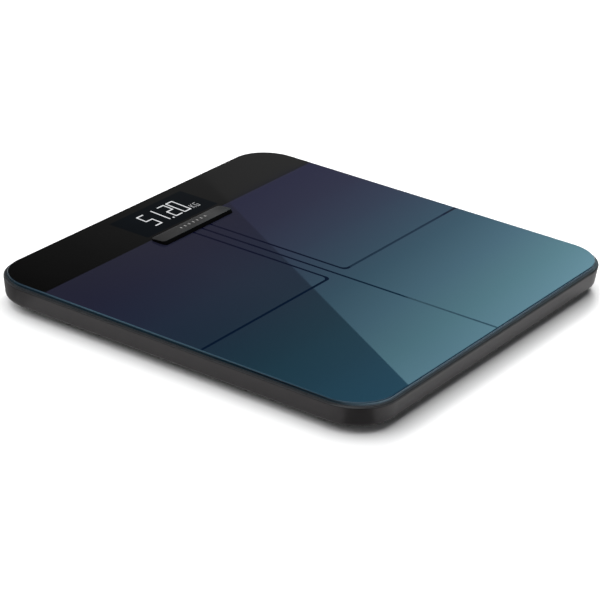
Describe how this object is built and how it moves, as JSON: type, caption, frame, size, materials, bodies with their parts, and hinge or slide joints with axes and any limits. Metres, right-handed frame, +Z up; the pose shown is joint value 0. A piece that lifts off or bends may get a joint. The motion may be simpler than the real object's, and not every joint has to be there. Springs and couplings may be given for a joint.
{
  "type": "digital bathroom scale",
  "caption": "Glass-topped body-composition bathroom scale with split foot electrodes, a raised terminal bar, a lit digit window, sprung load-cell feet and a hinged battery cover.",
  "frame": {"origin": "on the floor, under the middle of the outline", "axes": "+X towards the user's right, +Y from the user's heels to the display, +Z up"},
  "size_m": [0.311, 0.3044, 0.0246],
  "materials": {
    "glass": "tempered, tinted blue-black behind, polished arris",
    "casing": "fine moulded texture",
    "frame": "satin",
    "bar": "satin dark grey",
    "tape": "closed-cell foam",
    "steel": "satin",
    "silicone": "potting compound",
    "white_plastic": "matte",
    "rubber": "matte",
    "board": "solder mask",
    "chip": "matte",
    "display_mask": "matte black film",
    "diffuser": "translucent white",
    "cable": "PVC",
    "battery": "printed sleeve"
  },
  "bodies": {
    "platform": {"glass_platform": "glass", "glass_bond_tape": "tape", "terminal_bar": "bar", "electrode_contact_1": "steel", "electrode_contact_2": "steel", "electrode_contact_3": "steel", "electrode_contact_4": "steel", "case_screw_1": "steel", "case_screw_2": "steel", "case_screw_3": "steel", "case_screw_4": "steel", "load_cell_display_left": "steel", "load_cell_display_right": "steel", "load_cell_heel_left": "steel", "load_cell_heel_right": "steel", "radio_module": "steel", "battery_bridge_right_1": "steel", "battery_bridge_right_2": "steel", "battery_bridge_left": "steel", "battery_terminal_negative": "steel", "battery_terminal_positive": "steel", "display_mask": "display_mask", "display_diffuser": "diffuser", "display_reflector": "white_plastic", "sensor_connector_left": "white_plastic", "sensor_connector_right": "white_plastic", "load_cell_bracket_display_left": "white_plastic", "load_cell_bracket_display_right": "white_plastic", "load_cell_bracket_heel_left": "white_plastic", "load_cell_bracket_heel_right": "white_plastic", "upper_frame": "frame", "base_shell": "casing", "strain_gauge_display_left": "silicone", "strain_gauge_display_right": "silicone", "strain_gauge_heel_left": "silicone", "strain_gauge_heel_right": "silicone", "load_cell_lead_display_left": "cable", "load_cell_lead_display_right": "cable", "load_cell_lead_heel_left": "cable", "load_cell_lead_heel_right": "cable", "battery_lead": "cable", "main_board": "board", "controller_chip": "chip", "unit_switch": "chip", "battery_cell_1": "battery", "battery_cell_2": "battery", "battery_cell_3": "battery", "battery_cell_4": "battery"},
    "battery_cover": {"battery_cover": "casing"},
    "unit_button": {"unit_button": "casing", "unit_switch_plunger": "white_plastic"},
    "foot_display_left": {"foot_cup_display_left": "casing", "foot_pad_display_left": "rubber"},
    "foot_display_right": {"foot_cup_display_right": "casing", "foot_pad_display_right": "rubber"},
    "foot_heel_left": {"foot_cup_heel_left": "casing", "foot_pad_heel_left": "rubber"},
    "foot_heel_right": {"foot_cup_heel_right": "casing", "foot_pad_heel_right": "rubber"}
  },
  "joints": [
    {"name": "foot_travel_display_left", "type": "slide", "parent": "platform", "child": "foot_display_left", "axis": [0, 0, 1], "range_m": [0, 0.0004], "stiffness_N_per_m": 2000, "springref_m": -0.003},
    {"name": "foot_travel_display_right", "type": "slide", "parent": "platform", "child": "foot_display_right", "axis": [0, 0, 1], "range_m": [0, 0.0004], "stiffness_N_per_m": 2000, "springref_m": -0.003},
    {"name": "foot_travel_heel_left", "type": "slide", "parent": "platform", "child": "foot_heel_left", "axis": [0, 0, 1], "range_m": [0, 0.0004], "stiffness_N_per_m": 2000, "springref_m": -0.003},
    {"name": "foot_travel_heel_right", "type": "slide", "parent": "platform", "child": "foot_heel_right", "axis": [0, 0, 1], "range_m": [0, 0.0004], "stiffness_N_per_m": 2000, "springref_m": -0.003},
    {"name": "battery_cover_hinge", "type": "hinge", "parent": "platform", "child": "battery_cover", "pos_m": [0, 0.0282, 0.0049], "axis": [-1, 0, 0], "range_deg": [0, 85]},
    {"name": "unit_button_press", "type": "slide", "parent": "platform", "child": "unit_button", "axis": [0, 0, 1], "range_m": [0, 0.0005], "stiffness_N_per_m": 1500}
  ]
}
